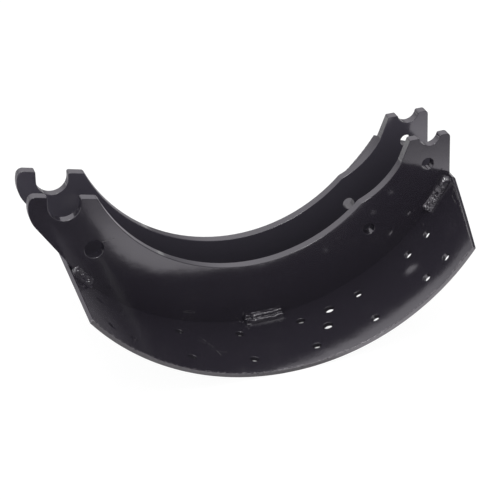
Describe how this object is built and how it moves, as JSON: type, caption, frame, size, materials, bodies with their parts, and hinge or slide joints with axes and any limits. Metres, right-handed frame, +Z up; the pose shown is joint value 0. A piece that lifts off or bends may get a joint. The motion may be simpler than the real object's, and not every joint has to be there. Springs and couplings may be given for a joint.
{
  "type": "brake shoe",
  "caption": "Unlined drum brake shoe: a curved table with rivet holes, two upright webs with an anchor pin hook and a cam roller notch, and stitch welds.",
  "frame": {"origin": "on the anchor pin axis, midway between the two webs", "axes": "+X from the anchor end to the cam end, +Y along the anchor pin axis, +Z up away from the table's lowest line, on which the shoe stands"},
  "size_m": [0.3471, 0.219, 0.1499],
  "materials": {
    "black_paint": "gloss black paint over bare steel plate"
  },
  "bodies": {
    "root": {"shoe_table": "black_paint", "front_web": "black_paint", "rear_web": "black_paint", "weld_front_anchor": "black_paint", "weld_front_middle": "black_paint", "weld_front_cam": "black_paint", "weld_rear_anchor": "black_paint", "weld_rear_middle": "black_paint", "weld_rear_cam": "black_paint"}
  },
  "joints": []
}
